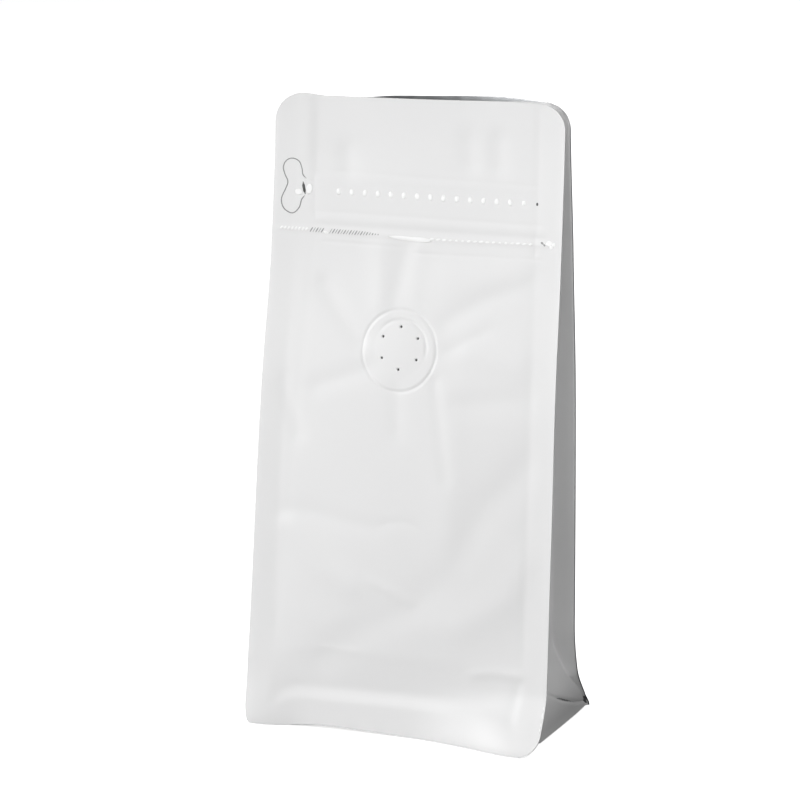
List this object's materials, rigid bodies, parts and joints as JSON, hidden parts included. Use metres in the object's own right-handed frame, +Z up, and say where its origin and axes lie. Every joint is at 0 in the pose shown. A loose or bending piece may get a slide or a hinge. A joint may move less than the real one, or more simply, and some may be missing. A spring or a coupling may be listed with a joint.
{
  "type": "flat-bottom foil pouch",
  "caption": "Empty white foil pouch with a flat base, folded side gussets, flat side fins, a one-way valve, a zipper under a tear band with a pull tab, and its mouth a little open.",
  "frame": {"origin": "on the floor, in the middle of the bounding box", "axes": "+Z up, -Y out of the front panel with the valve, +X to the right when looking at the front"},
  "size_m": [0.0906, 0.0568, 0.1836],
  "materials": {
    "film": "matt white laminate",
    "foil": "satin foil, the inner face of the laminate",
    "valve_plastic": "moulded, satin",
    "zipper_plastic": "milky extruded strip"
  },
  "bodies": {
    "root": {"pouch": "film", "valve": "valve_plastic", "zipper": "zipper_plastic"}
  },
  "joints": []
}
